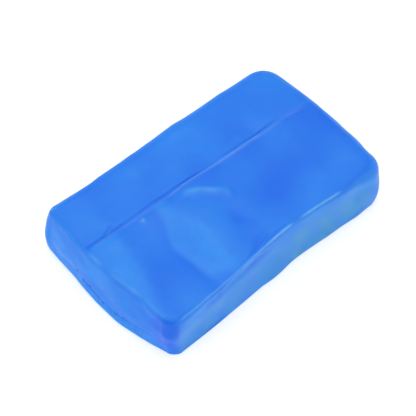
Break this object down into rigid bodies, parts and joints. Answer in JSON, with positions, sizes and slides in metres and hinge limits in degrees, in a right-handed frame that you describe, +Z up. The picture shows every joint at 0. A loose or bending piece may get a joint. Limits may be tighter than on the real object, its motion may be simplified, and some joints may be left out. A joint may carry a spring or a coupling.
{
  "type": "detailing clay bar",
  "caption": "Kneadable detailing clay block in clear wrapping film, with a peelable lap seam and folded end leaves.",
  "frame": {"origin": "middle of the underside, on the surface that the bar lies on", "axes": "+X along the bar's length, +Y across it towards the side without gathers, +Z up out of the lapped face"},
  "size_m": [0.0804, 0.0482, 0.0158],
  "materials": {
    "clay": "satin",
    "film": "gloss"
  },
  "bodies": {
    "bar": {"clay_block": "clay", "film_wrap": "film"},
    "lap": {"film_lap": "film"},
    "end_left": {"film_end_left": "film"},
    "end_right": {"film_end_right": "film"}
  },
  "joints": [
    {"name": "lap_peel", "type": "hinge", "parent": "bar", "child": "lap", "pos_m": [0, -0.0057, 0.01575], "axis": [0.9998, -0.0209, 0], "range_deg": [0, 150]},
    {"name": "end_left_lift", "type": "hinge", "parent": "bar", "child": "end_left", "pos_m": [-0.0363, 0, 0.01565], "axis": [0, 1, 0], "range_deg": [0, 90]},
    {"name": "end_right_lift", "type": "hinge", "parent": "bar", "child": "end_right", "pos_m": [0.03463, 0, 0.01565], "axis": [0, -1, 0], "range_deg": [0, 90]}
  ]
}
